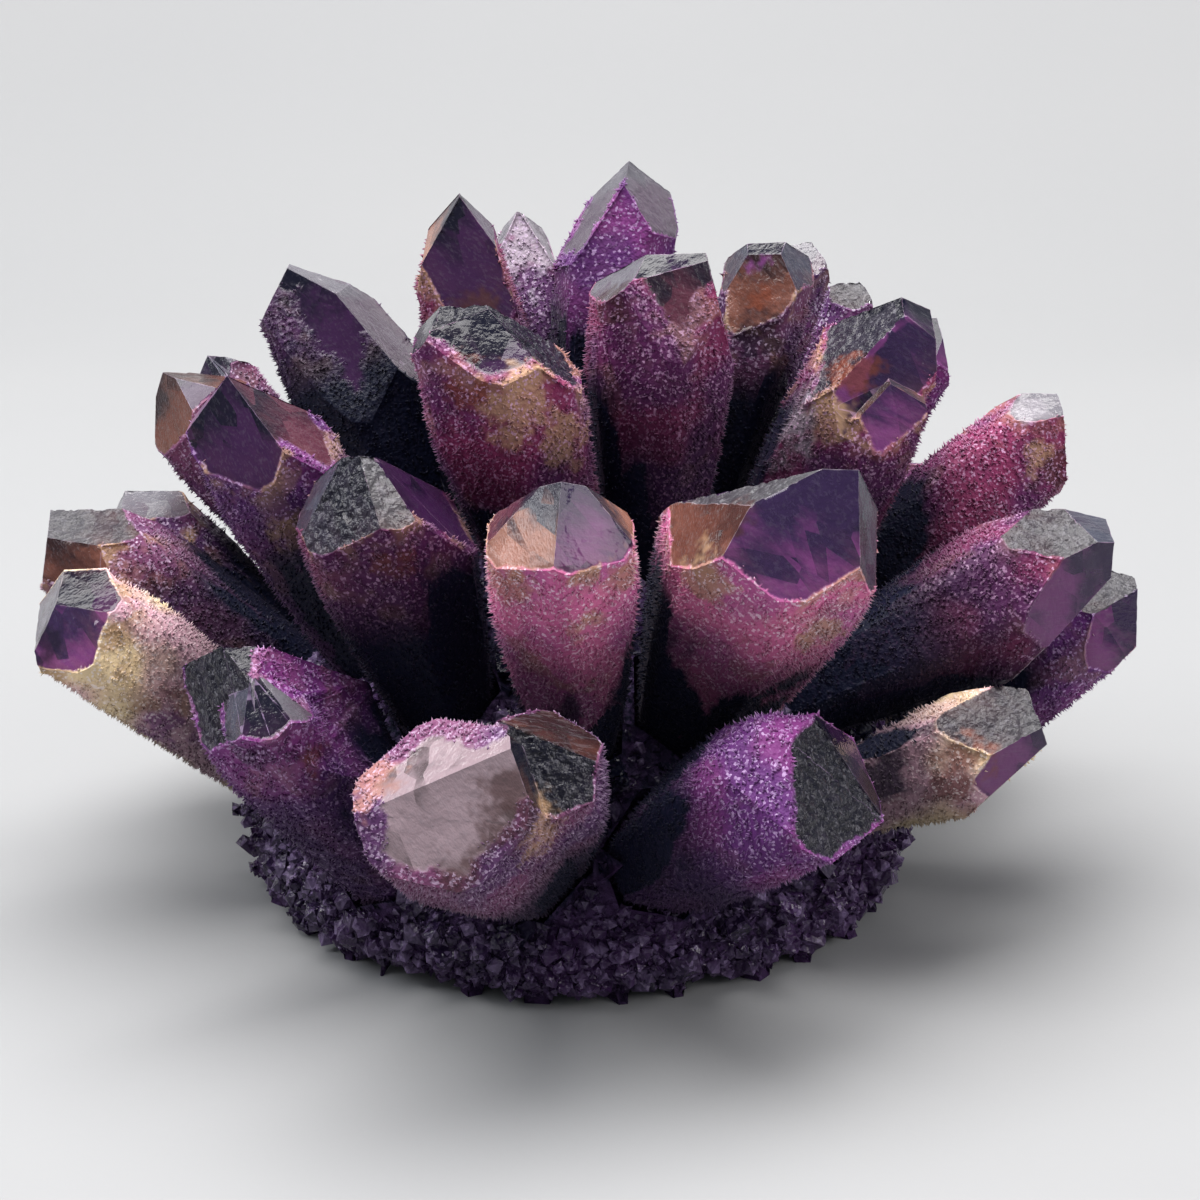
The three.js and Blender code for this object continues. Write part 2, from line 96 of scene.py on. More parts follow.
CRYSTALS = {
    "crown_crystal_1": row("violet", 21, (-3, 7, 65), (5, 18, 127.5), 0.2, 0.1, bare=14.0,
        facets=[(62, 36, "pale"), (-78, 36, "pale", 2.5), (178, 36, "grey"), (0, 20, "magenta", 1.0)]),
    "crown_crystal_2": row("plum", 20, (-16, 4, 60), (-25, 8, 124), 0.25, 0.6, bare=2.5,
        stains=[(10, 20, 6, "brown")], facets=[(8, 24, "dark"), (-80, 34, "beige"),
        (-88, 12, "beige", 1.5), (85, 38, "dark"), (90, 20, "dark"), (180, 40, "dark")]),
    "crown_crystal_3": row("plum", 25, (9, -10, 61), (10.5, -12, 117), 0.1, 0.35, bare=2.0,
        stains=[(-50, 8, 7, "brown")], facets=[(90, 15, "dark"), (15, 22, "plum", 4.0), (-80, 50, "pale"),
        (-10, 68, "dark"), (180, 50, "dark")]),
    "crown_crystal_4": row("smoky", 18, (17, 7, 60), (31, 15, 113.5), 0.35, 0.7, bare=6.0,
        stains=[(-10, 9, 5, "rust"), (5, 16, 7, "navy"), (-20, 4, 5, "purple")],
        facets=[(-90, 15, "dark"), (-75, 38, "grey"), (60, 35, "grey"), (-10, 70, "dark"),
        (-5, 30, "brown"), (180, 45, "dark")]),
    "crown_crystal_5": row("smoky", 12, (-5, 22, 60), (-15.5, 38, 115), 0.0, 0.1,
        stains=[(0, 3, 15, "pale")], facets=[(0, 30, "pale"), (-80, 30, "pale"), (75, 40, "pale"),
        (180, 45, "pale")]),
    "crown_crystal_6": row("plum", 27, (-7, -20, 58), (-19.5, -28, 110.5), 0.0, 0.5, bare=2.5,
        stains=[(20, 13, 8, "ochre"), (45, 22, 7, "ochre"), (-25, 9, 7, "rust")],
        facets=[(85, 48, "rough", 2.0), (-20, 72, "rough"), (-85, 35, "dark"), (15, 45, "dark", 2.5),
        (180, 50, "dark")]),
    "crown_crystal_7": row("clear", 12, (20, 20, 57), (39, 32, 111), 0.0, 0.4),
    "crown_crystal_8": row("clear", 12, (27, 32, 50), (50, 46, 101), 0.0, 0.2),
    "shoulder_crystal_1": row("rose", 34, (16, -37, 46), (31, -60.5, 90.5), 0.1, 0.6,
        stains=[(-35, 14, 8, "ochre"), (-60, 5, 8, "brown"), (60, 2, 7, "navy"), (35, 18, 6, "ochre")],
        facets=[(-80, 68, "stone"), (5, 28, "violet"), (75, 8, "grey"), (-60, 40, "brown"),
        (180, 50, "dark")]),
    "shoulder_crystal_2": row("rose", 24, (-4, -43, 43), (-6.5, -69, 91.5), 0.0, 0.8, bare=1.5,
        stains=[(-45, 11, 8, "peach"), (15, 18, 5, "ochre"), (60, 12, 6, "peach")],
        facets=[(-85, 42, "plum"), (-40, 30, "beige"), (30, 28, "violet"), (88, 40, "beige"),
        (180, 55, "dark")]),
    "shoulder_crystal_3": row("plum", 27, (-26, -33, 43), (-38, -49, 91), 0.45, 0.5,
        stains=[(15, 13, 6, "rust")], facets=[(-80, 30, "grey"), (-40, 30, "rough"), (30, 50, "stone"),
        (85, 42, "dark", 2.0), (180, 55, "dark")]),
    "shoulder_crystal_4": row("violet", 23, (-40, -14, 46), (-61.5, -22, 97.5), 0.2, 0.6,
        stains=[(0, 25, 6, "ochre"), (0, 0, 9, "navy")], facets=[(-18, 22, "dark"), (-88, 38, "magenta"),
        (70, 48, "plum", 3.5), (180, 45, "dark")]),
    "shoulder_crystal_5": row("clear", 25, (-30, 11, 54), (-53, 21, 108.5), 0.9, 0.4, bare=0.5,
        stains=[(0, 7, 8, "navy"), (-60, 10, 6, "purple")], facets=[(-88, 28, "pale"), (80, 65, "pale"),
        (80, 45, "pale", 1.0), (0, 28, "dark", 6.5), (180, 45, "grey")]),
    "shoulder_crystal_6": row("plum", 23, (27, -6, 56.5), (53, -2, 107), 0.0, 0.6,
        stains=[(-75, 24, 8, "mauve"), (-65, 28, 10, "pale"), (-30, 14, 7, "rust"),
        (-20, 24, 6, "ochre")], facets=[(90, 2, "dark"), (60, 50, "dark"), (10, 20, "dark"),
        (-60, 50, "rough", 2.0), (-85, 30, "stone", 1.0), (180, 45, "dark")], twin=dict(width=15,
        foot=(40, -10, 61), tip=(51, -10, 95), facets=[(5, 25, "violet"), (90, 10, "brown"),
        (-60, 50, "brown"), (60, 60, "beige"), (180, 40, "dark")])),
    "shoulder_crystal_7": row("violet", 17, (33, 20, 49), (62, 25, 98), 0.1, 0.1),
    "shoulder_crystal_8": row("plum", 22, (39, 3, 45), (82.5, 14, 78.5), 0.0, 0.4,
        stains=[(-10, 5, 6, "ochre"), (30, 5, 7, "brown"), (-60, 1, 6, "pale")], facets=[(0, 72, "pale"),
        (90, 5, "stone"), (20, 10, "brown"), (180, 30, "pale"), (60, -40, "dark")]),
    "side_crystal_1": row("plum", 26, (38, -21, 42), (86, -19, 66.5), 0.3, 0.3, bare=0.5,
        facets=[(5, 66, "stone"), (90, 0, "dark"), (35, -5, "violet"), (60, 65, "grey"),
        (70, -40, "dark"), (180, 45, "grey")]),
    "side_crystal_2": row("violet", 24, (56, 0, 20), (95.5, 2, 51.5), 0.0, 0.4, facets=[(90, 0, "grey"),
        (0, 70, "stone"), (35, 10, "violet"), (150, 20, "grey"), (70, -45, "violet")]),
    "side_crystal_3": row("honey", 20, (39, -35, 27), (74, -38, 41.5), 0.0, 0.5,
        stains=[(-10, 15, 8, "rust"), (0, 34, 8, "rust")], facets=[(0, 55, "stone"), (30, -10, "violet"),
        (90, 20, "grey"), (60, -40, "beige"), (170, 30, "grey")]),
    "side_crystal_4": row("honey", 24, (-56, -14, 24), (-96, -22, 58), 0.0, 1.0, bare=2.0,
        stains=[(-20, 1, 9, "navy"), (-20, 28, 6, "purple"), (10, 40, 7, "purple")],
        facets=[(-10, 66, "dark"), (-15, 30, "violet"), (-85, -15, "pale"), (-75, 30, "pale"),
        (180, 30, "grey"), (-60, -50, "pale")]),
    "side_crystal_5": row("smoky", 23, (-54, 6, 33), (-99, 10, 60), 0.1, 0.7, bare=1.5,
        stains=[(-10, 8, 7, "brown"), (20, 20, 8, "brown")], facets=[(-5, 72, "stone"), (-80, 10, "grey"),
        (-15, 20, "brown"), (180, 30, "grey"), (-60, -50, "dark")], twin=dict(width=15,
        foot=(-53, 13, 33), tip=(-88, 24, 64), facets=[(0, 75, "pale"), (-80, 25, "pale"),
        (180, 30, "pale"), (-60, -40, "grey")])),
    "side_crystal_6": row("smoky", 21, (-42, 16, 45), (-80.5, 22, 88.5), 0.1, 0.3, twin=dict(width=13,
        foot=(-41, 23, 46), tip=(-74, 34, 89), facets=[])),
    "skirt_crystal_1": row("violet", 27, (-36, -44, 21), (-56.5, -59, 63.5), 0.1, 0.3, bare=0.5,
        stains=[(-10, 10, 8, "navy"), (20, 18, 5, "rust")], facets=[(-50, 15, "rough", 1.0),
        (0, 65, "rough", 1.5), (180, 50, "dark"), (60, 30, "plum", 3.0)], twin=dict(width=14,
        foot=(-43, -50, 34), tip=(-54, -69, 58.5), facets=[(-60, 30, "grey"), (10, 45, "dark"),
        (70, 50, "pale"), (180, 40, "dark")])),
    "skirt_crystal_2": row("smoky", 27, (-12, -53, 23), (-23.5, -98, 54), 0.25, 0.15, bare=0.3,
        stains=[(-110, 3, 8, "peach"), (85, 4, 8, "brown"), (60, 13, 8, "ochre"), (0, 4, 6, "brown")],
        facets=[(-5, 20, "cloudy", 3.5), (-50, 62, "cloudy", 4.0)], twin=dict(width=18,
        foot=(-7, -54, 26), tip=(-7.5, -88, 56), facets=[(20, 30, "rough"), (60, 60, "brown"),
        (80, 0, "dark")])),
    "skirt_crystal_3": row("violet", 30, (11, -53, 25), (37, -76, 49.5), 0.18, 0.15, bare=0.3,
        facets=[(58, 25, "rough", 1.0), (-20, 40, "crust"), (75, 30, "dark"), (30, 75, "crust"),
        (60, -55, "crust"), (180, 50, "dark")]),
    "rear_crystal_1": row("violet", 20, (6, 27, 56), (14, 54, 92), 0.1, 0.3),
    "rear_crystal_2": row("plum", 22, (-22, 29, 52), (-36, 54, 86), 0.1, 0.6, bare=1.5),
    "rear_crystal_3": row("plum", 23, (22, 42, 42), (33, 72, 73), 0.2, 0.4),
    "rear_crystal_4": row("rose", 26, (-6, 43, 45), (-11, 76, 83), 0.0, 0.6, bare=1.5),
    "rear_crystal_5": row("violet", 22, (-38, 34, 40), (-62, 58, 70), 0.2, 0.3),
    "rear_crystal_6": row("plum", 22, (42, 25, 38), (74, 44, 64), 0.1, 0.4),
    "rear_crystal_7": row("honey", 22, (-52, 24, 22), (-87, 42, 40), 0.1, 0.9, bare=1.5),
    "rear_crystal_8": row("plum", 26, (-30, 49, 22), (-50, 84, 42), 0.1, 0.4),
    "rear_crystal_9": row("violet", 27, (1, 57, 20), (6, 96, 40), 0.1, 0.3),
    "rear_crystal_10": row("plum", 25, (31, 49, 22), (51, 82, 44), 0.1, 0.5),
    "rear_crystal_11": row("honey", 23, (51, 28, 18), (84, 50, 40), 0.1, 0.8),
}

# Colours of the patches that single crystals have (linear)
STAINS = {
    "ochre": (0.50, 0.31, 0.18),
    "peach": (0.46, 0.21, 0.16),
    "rust": (0.20, 0.050, 0.025),
    "brown": (0.070, 0.026, 0.022),
    "navy": (0.004, 0.004, 0.013),
    "purple": (0.240, 0.060, 0.250),
    "mauve": (0.260, 0.190, 0.230),
    "pale": (0.480, 0.440, 0.500),
}

# Facets of the crystals whose rows name none
PLAIN_STYLES = {
    "violet": ("violet", "grey", "dark"),
    "plum": ("dark", "violet", "rough"),
    "rose": ("violet", "beige", "grey"),
    "honey": ("violet", "beige", "grey"),
    "smoky": ("brown", "dark", "grey"),
    "clear": ("pale", "pale", "stone"),
}

TINY = 1e-12
NO_TAG = 1 << 30
SPLIT_ROUNDS = 16
FAR = 99.0  # stands for no distance at all

TIP_SLOPE = 0.25  # a face whose normal leans this much along the axis belongs to the tip
TIP_SHARE = 0.5  # and no tip reaches further down than this share of the crystal
NORMAL_STEPS, PLANE_STEPS = 40, 2  # how finely normals and places are told apart when faces share a plane
PITTED = 0.7  # a facet with more pits than this gets the finest mesh
PITTED_EDGE, FACET_EDGE, BODY_EDGE = 0.75, 1.35, 2.8  # longest edge of each kind of face
CRUST_INSET, BORDER_INSET, FACET_INSET = 0.65, 0.35, 0.12  # how far each lies inside the solid
PLAIN_COVER = 0.6  # how far the crust creeps over a facet whose row says nothing

# Noise on the crystals: the size of its lumps and its seed
CREEP, FRAY = (5.0, 5), (2.0, 6)
PITS, CHIPS, WAVES = (1.9, 8), (3.5, 9), (4.0, 12)
LUMPS, BORDER_WAVES, BARE_PATCHES = (5.0, 3), (2.5, 14), (6.0, 21)
PIT_SHARE = 0.16
PIT_DEPTH, CHIP_DEPTH, WAVE_DEPTH, LUMP_DEPTH, BORDER_DEPTH = 0.30, 0.35, 0.05, 0.3, 0.15
RIM_REACH, BORDER_REACH = 6.0, 3.5  # how far the ochre runs down the body and over a facet
STAIN_LUMPS, STAIN_SEED, STAIN_RAGGED = 6.0, 40, 0.45
STAIN_DEPTH = 0.85  # where a stain's middle lies, as a share of the way from the axis to the side

NEEDLE_WIDTH, NEEDLE_HEIGHT = 0.48, 0.95
NEEDLE_LEAN, NEEDLE_SUNK, NEEDLE_SIDES = 0.3, 0.3, 3
NEEDLES_PER_MM2 = 1.70
HIDDEN_SHARE = 0.3  # how much of the crust is left where other crystals hide it
BURIED_GAP, BURIED_DEPTH = 0.35, 6  # no needle grows this near the matrix, or inside it down to this depth

# The druse of the matrix, in layers: crystals per square millimetre, their lean, width and number of sides
DRUSE_LAYERS = ((0.22, 0.5, 2.4, 4), (0.9, 0.6, 1.3, 3))
DRUSE_TALLEST = 4.5
DRUSE_HIDDEN_SHARE = 0.32
MATRIX_EDGE, HIDDEN_EDGE = 2.4, 20.0
COVERED_GAP = 1.2  # the matrix is hidden where a crystal is this near
MATRIX_INSET, MATRIX_RELIEF, MATRIX_LUMPS = 1.0, 0.8, (4.0, 31)

# How open a place is: where its rays start, how far they look, which ways (degrees to the right and up), and
# the shares of free rays that count as closed and as open
OPEN_START, OPEN_REACH, OPEN_RANGE = 1.5, 28, (0.05, 0.7)
OPEN_WAYS = ((0, 90), (0, 35), (90, 35), (180, 35), (270, 35), (45, 10), (135, 10), (225, 10), (315, 10))

MATRIX_SEED, FIRST_CRYSTAL_SEED, NOISE_SEED = 5, 100, 11


# Noise: smooth lumps that are the same on every run
TABLE_SIZE = 4096
CELL_PRIMES = (73856093, 19349663, 83492791)
SEED_PRIME = 2654435761
NOISE_ORIGIN = 1000  # keeps every cell's number positive
noise_table = np.random.default_rng(NOISE_SEED).uniform(-1, 1, TABLE_SIZE)


def lattice_value(cell, seed):
    """A fixed random number from -1 to 1 for each whole-number cell."""
    x, y, z = (cell[:, k] * CELL_PRIMES[k] for k in range(3))
    return noise_table[(x ^ y ^ z ^ seed * SEED_PRIME) % TABLE_SIZE]


def noise(points, size, seed):
    """Smooth noise from -1 to 1 whose lumps are `size` across."""
    scaled = points / size + NOISE_ORIGIN
    cell = np.floor(scaled).astype(np.int64)
    part = scaled - cell
    part = part * part * (3 - 2 * part)
    total = np.zeros(len(points))
    for corner in np.ndindex(2, 2, 2):
        weight = np.prod(np.where(corner, part, 1 - part), axis=1)
        total += weight * lattice_value(cell + np.array(corner), seed)
    return total


def layered_noise(points, size, seed, layers=3):
    """Noise with finer and weaker layers on top."""
    total = sum(noise(points, size / 2**k, seed + k) / 2**k for k in range(layers))
    return total / sum(1 / 2**k for k in range(layers))


def smoothstep(low, high, value):
    """From 0 at low to 1 at high, with soft ends."""
    part = np.clip((value - low) / (high - low), 0, 1)
    return part * part * (3 - 2 * part)


# Meshes as arrays: corners in millimetres, and the numbers of each triangle's corners
def solid_arrays(node):
    """Corners and triangles of a CAD node, with corners joined that agree to a micrometre."""
    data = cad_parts[node].data
    data.calc_loop_triangles()
    corners = np.zeros(len(data.vertices) * 3)
    data.vertices.foreach_get("co", corners)
    faces = np.zeros(len(data.loop_triangles) * 3, int)
    data.loop_triangles.foreach_get("vertices", faces)
    corners = corners.reshape(-1, 3) / MM
    kept, where = np.unique(np.round(corners, 3), axis=0, return_inverse=True)
    faces = where.reshape(-1)[faces].reshape(-1, 3)
    distinct = (faces[:, 0] != faces[:, 1]) & (faces[:, 1] != faces[:, 2]) & (faces[:, 2] != faces[:, 0])
    return kept, faces[distinct]


def face_normals(corners, faces):
    """Each face's normal and area."""
    a, b, c = (corners[faces[:, k]] for k in range(3))
    cross = np.cross(b - a, c - a)
    length = np.linalg.norm(cross, axis=1)
    return cross / np.maximum(length, TINY)[:, None], length / 2


def unit(vectors):
    return vectors / np.maximum(np.linalg.norm(vectors, axis=1), TINY)[:, None]


def corner_normals(corners, faces):
    """The mean normal of the faces at each corner, weighed by area."""
    normals, area = face_normals(corners, faces)
    total = np.zeros_like(corners)
    for k in range(3):
        np.add.at(total, faces[:, k], normals * area[:, None])
    return unit(total)


def edge_ids(faces):
    """The two corners of every edge, and which edges each face has."""
    pairs = np.sort(np.stack([faces, np.roll(faces, -1, axis=1)], 2).reshape(-1, 2), axis=1)
    edges, where = np.unique(pairs, axis=0, return_inverse=True)
    return edges, where.reshape(-1, 3)


def longest_first(corners, faces):
    """The same faces, each starting at its longest edge."""
    length = np.linalg.norm(corners[faces] - corners[np.roll(faces, -1, axis=1)], axis=2)
    start = np.argmax(length, axis=1)
    pick = (start[:, None] + np.arange(3)) % 3
    return np.take_along_axis(faces, pick, axis=1)


def refine(corners, faces, tags, longest):
    """Splits edges until none is longer than its faces allow. longest gives that length for each tag."""
    for _ in range(SPLIT_ROUNDS):
        faces = longest_first(corners, faces)
        edges, of_face = edge_ids(faces)
        length = np.linalg.norm(corners[edges[:, 0]] - corners[edges[:, 1]], axis=1)
        allowed = np.full(len(edges), np.inf)
        for k in range(3):
            np.minimum.at(allowed, of_face[:, k], longest[tags])
        split = length > allowed
        if not split.any():
            break
        # A face with any split edge also splits its longest one.
        while True:
            needed = split[of_face].any(axis=1) & ~split[of_face[:, 0]]
            if not needed.any():
                break
            split[of_face[needed, 0]] = True
        middle = np.cumsum(split) - 1 + len(corners)
        corners = np.vstack([corners, (corners[edges[split, 0]] + corners[edges[split, 1]]) / 2])
        s = split[of_face]
        a, b, c = (middle[of_face[:, k]] for k in range(3))
        v0, v1, v2 = faces.T
        parts = [
            (~s[:, 0], (v0, v1, v2)),
            (s[:, 0] & ~s[:, 2], (v0, a, v2)),
            (s[:, 0] & s[:, 2], (v0, a, c)),
            (s[:, 0] & s[:, 2], (c, a, v2)),
            (s[:, 0] & ~s[:, 1], (a, v1, v2)),
            (s[:, 0] & s[:, 1], (a, v1, b)),
            (s[:, 0] & s[:, 1], (a, b, v2)),
        ]
        faces = np.vstack([np.stack(part, 1)[rows] for rows, part in parts])
        tags = np.concatenate([tags[rows] for rows, _ in parts])
    return corners, faces, tags


def relax(corners, faces, movable, rounds):
    """Moves the movable corners halfway towards the middle of their neighbours."""
    edges, _ = edge_ids(faces)
    both = np.vstack([edges, edges[:, ::-1]])
    count = np.bincount(both[:, 0], minlength=len(corners))[:, None]
    for _ in range(rounds):
        total = np.zeros_like(corners)
        np.add.at(total, both[:, 0], corners[both[:, 1]])
        corners = np.where(movable[:, None], corners * 0.5 + total / np.maximum(count, 1) * 0.5, corners)
    return corners


def tags_meet(count, where, tags):
    """Whether each of `count` corners or edges has faces with different tags around it."""
    low, high = np.full(count, NO_TAG), np.full(count, -1)
    np.minimum.at(low, where, tags)
    np.maximum.at(high, where, tags)
    return low != high


def highest(corners, faces, values):
    """The highest value of the faces at each corner, and at least 0."""
    result = np.zeros(len(corners))
    np.maximum.at(result, faces.ravel(), np.repeat(values, 3))
    return result


def touched(corners, faces):
    """Whether any of the faces is at each corner."""
    result = np.zeros(len(corners), bool)
    result[faces] = True
    return result


def tree_of(corners, faces):
    return BVHTree.FromPolygons([Vector(c) for c in corners], faces.tolist(), all_triangles=True)


def distance_to(points, targets):
    """Distance from each point to the nearest target."""
    if not len(targets):
        return np.full(len(points), FAR)
    tree = KDTree(len(targets))
    for k, target in enumerate(targets):
        tree.insert(target, k)
    tree.balance()
    return np.array([tree.find(point)[2] for point in points])


# Blender objects
def make_object(name, parts):
    """One object of several parts, each with its corners, faces, values and materials."""
    corners = np.vstack([part["corners"] for part in parts])
    offsets = np.cumsum([0] + [len(part["corners"]) for part in parts[:-1]])
    faces = np.vstack([part["faces"] + offset for part, offset in zip(parts, offsets)])
    data = bpy.data.meshes.new(name)
    data.vertices.add(len(corners))
    data.vertices.foreach_set("co", (np.clip(corners * MM, *BOX)).ravel())
    data.loops.add(faces.size)
    data.loops.foreach_set("vertex_index", faces.ravel())
    data.polygons.add(len(faces))
    data.polygons.foreach_set("loop_start", np.arange(0, faces.size, 3))
    data.polygons.foreach_set("loop_total", np.full(len(faces), 3))
    materials, index, smooth, tags = [], [], [], []
    for part in parts:
        count = len(part["faces"])
        index.append(part.get("slots", np.zeros(count, int)) + len(materials))
        materials += part["materials"]
        smooth.append(np.full(count, part["smooth"]))
        tags.append(part.get("tags", np.zeros(count, int)))
    data.polygons.foreach_set("material_index", np.concatenate(index))
    data.polygons.foreach_set("use_smooth", np.concatenate(smooth))
    data.update(calc_edges=True)
    mark_sharp(data, np.concatenate(tags))
    for domain, size in (("POINT", "corners"), ("FACE", "faces")):
        for key in sorted({key for part in parts for key in part[domain]}):
            values = [part[domain].get(key, np.zeros(len(part[size]))) for part in parts]
            add_attribute(data, key, domain, values)
    for material in materials:
        data.materials.append(material)
    piece = bpy.data.objects.new(name, data)
    scene.collection.objects.link(piece)
    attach(piece, "root")
    return piece


def add_attribute(data, key, domain, values):
    """Hands numbers or colours on to the material."""
    if max(value.ndim for value in values) == 2:
        kind, field = "FLOAT_VECTOR", "vector"
        values = [value if value.ndim == 2 else np.zeros((len(value), 3)) for value in values]
    else:
        kind, field = "FLOAT", "value"
    attribute = data.attributes.new(key, kind, domain)
    attribute.data.foreach_set(field, np.concatenate(values).astype(np.float32).ravel())


def mark_sharp(data, tags):
    """Keeps the edge sharp between faces with different tags."""
    edge = np.zeros(len(data.loops), int)
    data.loops.foreach_get("edge_index", edge)
    sharp = data.attributes.new("sharp_edge", "BOOLEAN", "EDGE")
    sharp.data.foreach_set("value", tags_meet(len(data.edges), edge, np.repeat(tags, 3)))


# Crystals
def members_of(crystal):
    """The crystal and those grown into it, each with its place in the frame."""
    members = []
    for each in (crystal, crystal["twin"]) if crystal["twin"] else (crystal,):
        foot = np.array(each["foot"], float) + SHIFT
        axis = np.array(each["tip"], float) + SHIFT - foot
        length = np.linalg.norm(axis)
        members.append(dict(foot=foot, axis=axis / length, length=length, half=each["width"] / 2,
                            facets=each["facets"]))
    return members


def below_and_out(member, points):
    """Distance below the tip in millimetres, and distance from the axis in half widths."""
    from_foot = points - member["foot"]
    along = from_foot @ member["axis"]
    out = np.linalg.norm(from_foot - along[:, None] * member["axis"], axis=1)
    return member["length"] - along, out / member["half"]


def place_in(members, points):
    """Which member each point belongs to, and how far below its tip and what share of its length it is."""
    below, out = np.moveaxis([below_and_out(member, points) for member in members], 1, 0)
    lengths = np.array([member["length"] for member in members])
    owner = np.argmin(out + 3 * (below > lengths[:, None]), axis=0)
    below = below[owner, np.arange(len(points))]
    return owner, below, below / lengths[owner]


def direction(azimuth, elevation):
    """The way that points so many degrees to the right of the front and so many up."""
    a, e = math.radians(azimuth), math.radians(elevation)
    return np.array([math.sin(a) * math.cos(e), -math.cos(a) * math.cos(e), math.sin(e)])


def tag_faces(corners, faces, members):
    """A tag for each face: 0 on a body, or a number for each facet, and the facets' members and normals."""
    normals, area = face_normals(corners, faces)
    middles = corners[faces].mean(axis=1)
    owner, _, share = place_in(members, middles)
    axes = np.array([member["axis"] for member in members])[owner]
    tip = (np.sum(normals * axes, axis=1) > TIP_SLOPE) & (share < TIP_SHARE)
    height = np.sum(normals * middles, axis=1) * PLANE_STEPS
    key = np.round(np.column_stack([normals * NORMAL_STEPS, height, owner])).astype(int)
    planes, plane = np.unique(key[tip], axis=0, return_inverse=True)
    plane = plane.reshape(-1)
    tags = np.zeros(len(faces), int)
    tags[tip] = plane + 1
    facets = []
    for k in range(len(planes)):
        rows = np.flatnonzero(tip)[plane == k]
        normal = (normals[rows] * area[rows][:, None]).sum(axis=0)
        facets.append((planes[k][-1], normal / np.linalg.norm(normal)))
    return tags, facets


def facet_looks(crystal, members, facets, random):
    """The style of each facet, with how far the crust has crept over it."""
    looks = [dict(STYLES["crust"], cover=0.0)]
    for owner, normal in facets:
        listed = members[owner]["facets"]
        if listed:
            _, _, style, *cover = max(listed, key=lambda facet: direction(facet[0], facet[1]) @ normal)
        else:
            style, cover = PLAIN_STYLES[crystal["slot"]][random.integers(3)], []
        looks.append(dict(STYLES[style], cover=cover[0] if cover else PLAIN_COVER))
    return {key: np.array([look[key] for look in looks]) for key in looks[0]}


def crystal_skin(name, crystal, random):
    """The crystal's own surface: glassy facets, and a body under the crust."""
    corners, faces = solid_arrays(name)
    members = members_of(crystal)
    tags, facets = tag_faces(corners, faces, members)
    looks = facet_looks(crystal, members, facets, random)
    glassy = looks["clear"] > 0
    edge = np.where(looks["pits"] > PITTED, PITTED_EDGE, FACET_EDGE)
    corners, faces, tags = refine(corners, faces, tags, np.where(glassy, edge, BODY_EDGE))

    on_glass, on_crust = touched(corners, faces[glassy[tags]]), touched(corners, faces[~glassy[tags]])
    border = on_glass & on_crust
    facet_edge = on_glass & ~border & tags_meet(len(corners), faces.ravel(), np.repeat(tags, 3))
    normals = corner_normals(corners, faces)
    from_border = distance_to(corners, corners[border])
    _, below, share = place_in(members, corners)

    cover = highest(corners, faces, looks["cover"][tags])
    creep = cover * (1 + 0.8 * layered_noise(corners, *CREEP)) + 0.5 * noise(corners, *FRAY)
    soft = 0.35 + 0.35 * cover
    crust = np.where(on_glass & ~border, 1 - smoothstep(creep - soft, creep + soft, from_border), 1.0)

    pits = highest(corners, faces, np.where(glassy, looks["pits"], 0)[tags])
    pitted = np.abs(noise(corners, *PITS)) < PIT_SHARE
    chipped = smoothstep(0.15, 0.5, layered_noise(corners, *CHIPS))
    relief = pits * (PIT_DEPTH * pitted + CHIP_DEPTH * chipped) + WAVE_DEPTH * layered_noise(corners, *WAVES)
    lumps = LUMP_DEPTH * layered_noise(corners, *LUMPS)
    inset = np.where(on_glass, FACET_INSET + relief, CRUST_INSET + lumps)
    inset = np.where(border, BORDER_INSET + BORDER_DEPTH * noise(corners, *BORDER_WAVES), inset)
    corners = relax(corners, faces, on_crust & ~on_glass, 2)
    corners = corners - normals * inset[:, None]

    stained, stain = stains_on(crystal, members[0], corners)
    near_tip = np.where(on_glass, 0, from_border)
    clear = crystal["bare"] * (1 + 0.9 * layered_noise(corners, *BARE_PATCHES))
    point = dict(
        crust=crust,
        root=np.clip(share, 0, 1),
        rim=np.exp(-near_tip / RIM_REACH) * crystal["ochre"],
        border=np.exp(-from_border / BORDER_REACH) * crystal["ochre"],
        low=np.clip(below / members[0]["half"], 0, 1),
        bare=(1 - smoothstep(clear * 0.5, clear * 1.3 + 0.4, near_tip)) * on_crust,
        dark=np.full(len(corners), crystal["dark"]),
        ochre=np.full(len(corners), crystal["ochre"]),
        edge=facet_edge.astype(float),
        stained=stained,
        stain=stain,
    )
    face = {key: looks[key][tags] for key in ("tint", "clear", "rough", "lines", "pits", "warm")}
    face["lower"] = looks["low"][tags]
    slots = glassy[tags].astype(int)
    return dict(corners=corners, faces=faces, tags=tags, slots=slots, smooth=True, POINT=point, FACE=face)


def stains_on(crystal, member, corners):
    """How strongly each corner is stained, and the stain's colour."""
    stains = crystal["stains"]
    if not stains:
        return np.zeros(len(corners)), np.zeros((len(corners), 3))
    reached = []
    for number, (azimuth, below, radius, _) in enumerate(stains):
        out = direction(azimuth, 0)
        out = out - member["axis"] * (out @ member["axis"])
        centre = member["foot"] + member["axis"] * (member["length"] - below)
        centre = centre + out / np.linalg.norm(out) * member["half"] * STAIN_DEPTH
        away = np.linalg.norm(corners - centre, axis=1) / radius
        reached.append(away + STAIN_RAGGED * layered_noise(corners, STAIN_LUMPS, STAIN_SEED + number))
    nearest = np.argmin(reached, axis=0)
    colours = np.array([STAINS[colour] for _, _, _, colour in stains])
    return 1 - smoothstep(0.2, 1.2, np.min(reached, axis=0)), colours[nearest]


